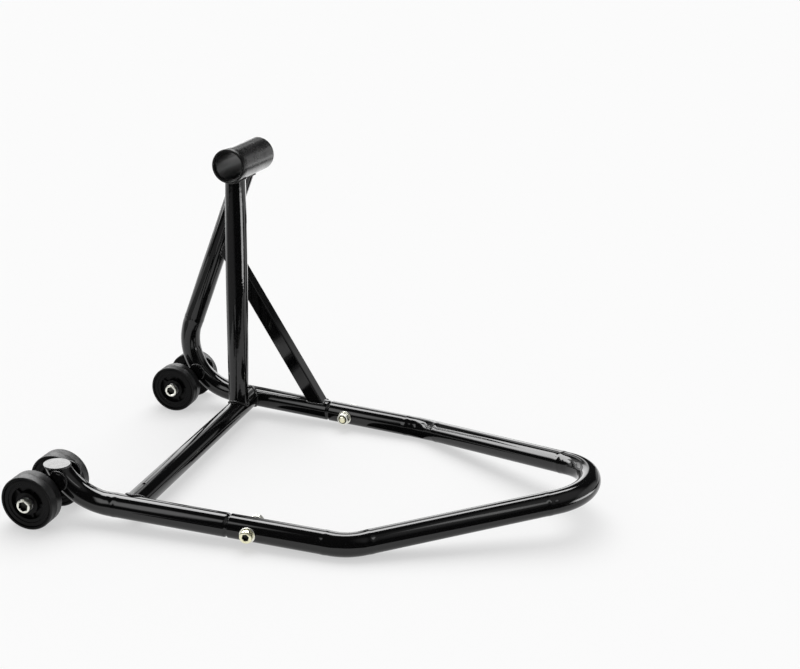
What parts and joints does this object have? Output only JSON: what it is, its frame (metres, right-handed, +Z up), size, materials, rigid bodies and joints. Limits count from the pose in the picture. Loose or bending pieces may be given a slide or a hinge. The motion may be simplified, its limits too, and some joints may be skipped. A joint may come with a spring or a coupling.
{
  "type": "paddock stand",
  "caption": "Rear paddock stand for a single-sided swingarm: tubular frame on floor wheels, V handle, and a raised receiver tube for the lifting pin.",
  "frame": {"origin": "on the floor at the centre of the stand's footprint", "axes": "+X from the wheels towards the handle, +Y from the short near leg to the tall far leg, +Z up"},
  "size_m": [0.702, 0.5058, 0.418],
  "materials": {
    "gloss_black_paint": "glossy black powder coat over steel tube",
    "satin_black_paint": "satin black coat over steel tube",
    "liner_plastic": "dark bearing plastic",
    "wheel_plastic": "satin black moulded plastic",
    "zinc_plate": "yellowish zinc plate",
    "bush_steel": "bright steel"
  },
  "bodies": {
    "frame": {"near_leg": "gloss_black_paint", "near_leg_cap": "gloss_black_paint", "far_leg_strut": "gloss_black_paint", "handle": "gloss_black_paint", "cross_tube": "gloss_black_paint", "post": "gloss_black_paint", "brace": "gloss_black_paint", "receiver": "satin_black_paint", "receiver_liner": "liner_plastic", "splice_bolt_near": "zinc_plate", "splice_nut_near": "zinc_plate", "splice_washers_near": "zinc_plate", "splice_bolt_far": "zinc_plate", "splice_nut_far": "zinc_plate", "splice_washers_far": "zinc_plate", "wheel_bush_near_left": "bush_steel", "wheel_bush_near_right": "bush_steel", "axle_bracket_near": "gloss_black_paint", "axle_sleeve_near": "gloss_black_paint", "thrust_washers_near": "zinc_plate", "axle_bolt_near": "zinc_plate", "axle_nut_near": "zinc_plate", "wheel_bush_far_left": "bush_steel", "wheel_bush_far_right": "bush_steel", "axle_bracket_far": "gloss_black_paint", "axle_sleeve_far": "gloss_black_paint", "thrust_washers_far": "zinc_plate", "axle_bolt_far": "zinc_plate", "axle_nut_far": "zinc_plate"},
    "wheel_near_left": {"wheel_near_left": "wheel_plastic"},
    "wheel_near_right": {"wheel_near_right": "wheel_plastic"},
    "wheel_far_left": {"wheel_far_left": "wheel_plastic"},
    "wheel_far_right": {"wheel_far_right": "wheel_plastic"}
  },
  "joints": [
    {"name": "wheel_near_left_spin", "type": "hinge", "parent": "frame", "child": "wheel_near_left", "pos_m": [-0.31605, 0, 0.035], "axis": [0, 1, 0], "continuous": true},
    {"name": "wheel_near_right_spin", "type": "hinge", "parent": "frame", "child": "wheel_near_right", "pos_m": [-0.31605, 0, 0.035], "axis": [0, 1, 0], "continuous": true},
    {"name": "wheel_far_left_spin", "type": "hinge", "parent": "frame", "child": "wheel_far_left", "pos_m": [-0.31605, 0, 0.035], "axis": [0, 1, 0], "continuous": true},
    {"name": "wheel_far_right_spin", "type": "hinge", "parent": "frame", "child": "wheel_far_right", "pos_m": [-0.31605, 0, 0.035], "axis": [0, 1, 0], "continuous": true}
  ]
}
